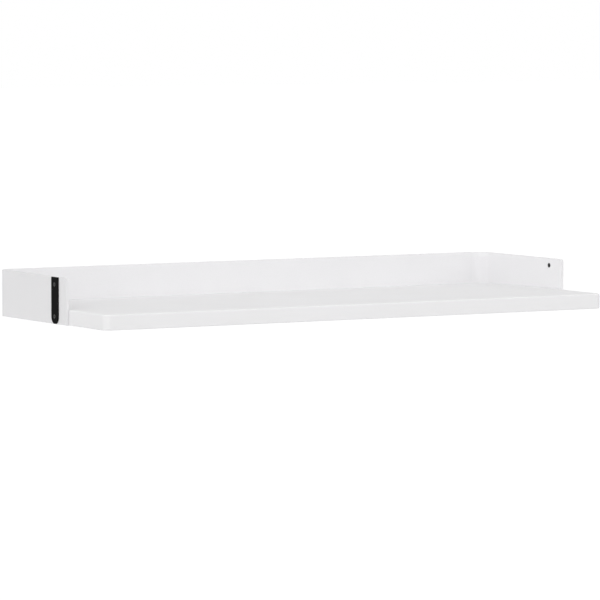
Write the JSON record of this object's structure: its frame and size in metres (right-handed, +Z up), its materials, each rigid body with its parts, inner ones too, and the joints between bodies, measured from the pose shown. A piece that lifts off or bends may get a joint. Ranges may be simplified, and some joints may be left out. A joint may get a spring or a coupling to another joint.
{
  "type": "floating wall shelf",
  "caption": "Floating wall shelf: a white board in a low U-shaped upstand of bent sheet, black straps bolted to its sides, carried by a hidden wall bar with rods.",
  "frame": {"origin": "centre of the four screw holes of the wall bar, in the plane of the wall", "axes": "+X along the wall to the viewer's right, +Y into the wall, so the shelf's front faces -Y, +Z up"},
  "size_m": [0.804, 0.32, 0.064],
  "materials": {
    "board_lacquer": "white satin lacquer on fibreboard",
    "upstand_coat": "fine-textured white powder coat",
    "strap_black": "satin black powder coat",
    "fixing_black": "black oxide",
    "insert_brass": "turned brass",
    "zinc_steel": "zinc-plated steel"
  },
  "bodies": {
    "root": {"shelf_board": "board_lacquer", "upstand": "upstand_coat", "strap_left": "strap_black", "strap_right": "strap_black", "upper_bolt_left": "fixing_black", "upper_bolt_right": "fixing_black", "lower_bolt_left": "fixing_black", "lower_bolt_right": "fixing_black", "upper_nut_left": "fixing_black", "upper_nut_right": "fixing_black", "side_insert_left": "insert_brass", "side_insert_right": "insert_brass", "wall_bar": "zinc_steel", "rod_left": "zinc_steel", "rod_middle": "zinc_steel", "rod_right": "zinc_steel", "rear_screw_1": "zinc_steel", "rear_screw_2": "zinc_steel", "rear_screw_3": "zinc_steel", "rear_screw_4": "zinc_steel"}
  },
  "joints": []
}
